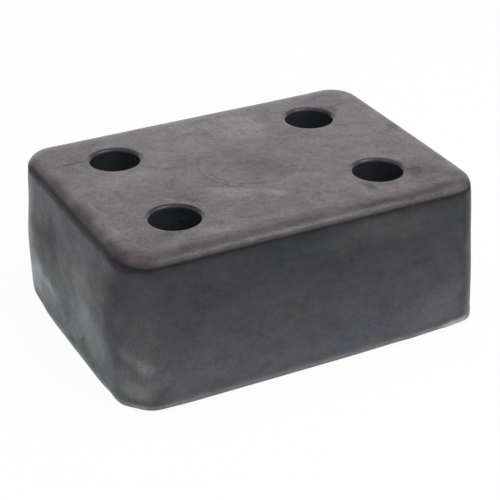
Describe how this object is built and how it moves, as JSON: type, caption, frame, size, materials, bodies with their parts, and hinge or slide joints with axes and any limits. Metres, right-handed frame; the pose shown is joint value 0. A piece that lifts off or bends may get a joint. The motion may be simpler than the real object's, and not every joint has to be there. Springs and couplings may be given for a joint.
{
  "type": "rubber buffer",
  "caption": "Black moulded rubber buffer block with drafted walls, a rounded striking face and recessed through holes for bolts.",
  "frame": {"origin": "middle of the flat mounting face", "axes": "+Z from the mounting face to the striking face, +X along the length, +Y across the width"},
  "size_m": [0.2, 0.15, 0.08],
  "materials": {
    "black_rubber": "moulded black rubber, satin, with a faint grey bloom and light scuffs"
  },
  "bodies": {
    "root": {"buffer_block": "black_rubber"}
  },
  "joints": []
}
